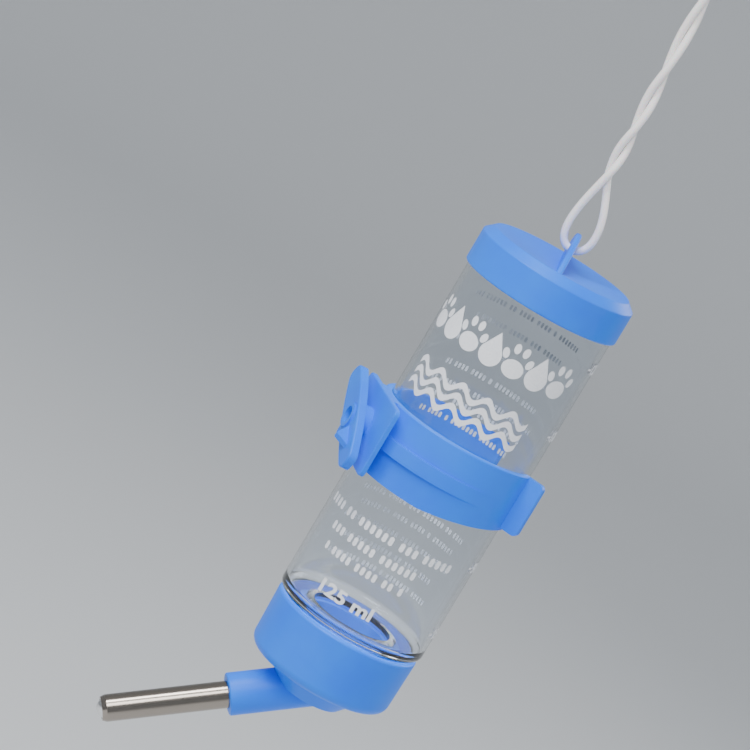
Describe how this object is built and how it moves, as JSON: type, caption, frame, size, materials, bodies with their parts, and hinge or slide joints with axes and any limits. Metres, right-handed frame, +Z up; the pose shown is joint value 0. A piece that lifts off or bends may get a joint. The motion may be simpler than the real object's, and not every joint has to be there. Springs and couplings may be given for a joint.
{
  "type": "small animal water bottle",
  "caption": "Clear cage water bottle for small animals with a hanging cap on top, a spring clip with a turn button, and a slanted ball-tip steel nozzle in a screw-on spout cap.",
  "frame": {"origin": "centre of the clamp plate's outer face, where the cage wires lie", "axes": "+Z up along the bottle, -X out of the clamp plate through the cage wires, the way the spout points"},
  "size_m": [0.0686, 0.0454, 0.2481],
  "materials": {
    "clear_plastic": "clear moulded",
    "blue_plastic": "moulded, satin",
    "seal_rubber": "moulded silicone",
    "nozzle_steel": "brushed tube",
    "ball_steel": "polished",
    "screw_steel": "zinc plated",
    "wire_coat": "white coated wire"
  },
  "bodies": {
    "clip": {"clip_ring": "blue_plastic", "button_screw": "screw_steel"},
    "button": {"turn_button": "blue_plastic"},
    "bottle": {"bottle_tube": "clear_plastic"},
    "top_cap": {"top_cap": "blue_plastic", "top_seal": "seal_rubber", "hang_wire_loop": "wire_coat", "hang_wire_twist": "wire_coat", "hang_wire_knot": "wire_coat", "hang_wire_top_loop": "wire_coat"},
    "gasket": {"neck_gasket": "seal_rubber"},
    "spout": {"spout_cap": "blue_plastic", "nozzle_tube": "nozzle_steel"},
    "ball_front": {"ball_front": "ball_steel"},
    "ball_rear": {"ball_rear": "ball_steel"}
  },
  "joints": [
    {"name": "button_turn", "type": "hinge", "parent": "clip", "child": "button", "pos_m": [0, 0, 0], "axis": [1, 0, 0], "range_deg": [-31, 59]},
    {"name": "bottle_height", "type": "slide", "parent": "clip", "child": "bottle", "axis": [0, 0, 1], "range_m": [-0.035, 0.035]},
    {"name": "cap_lift", "type": "slide", "parent": "bottle", "child": "top_cap", "axis": [0, 0, 1], "range_m": [0, 0.015]},
    {"name": "spout_lower", "type": "slide", "parent": "bottle", "child": "gasket", "axis": [0, 0, -1], "range_m": [0, 0.0097]},
    {"name": "spout_unscrew", "type": "hinge", "parent": "gasket", "child": "spout", "pos_m": [0.02355, 0, -0.06], "axis": [0, 0, -1], "range_deg": [0, 1080]},
    {"name": "front_ball_push", "type": "slide", "parent": "spout", "child": "ball_front", "axis": [0.8434, 0, 0.5373], "range_m": [0, 0.0015]},
    {"name": "rear_ball_push", "type": "slide", "parent": "spout", "child": "ball_rear", "axis": [0.8434, 0, 0.5373], "range_m": [0, 0.0015]}
  ],
  "couplings": [
    {"joint": "spout_lower", "follows": "spout_unscrew", "m_per_rad": 0.0005093},
    {"joint": "rear_ball_push", "follows": "front_ball_push", "ratio": 1}
  ]
}
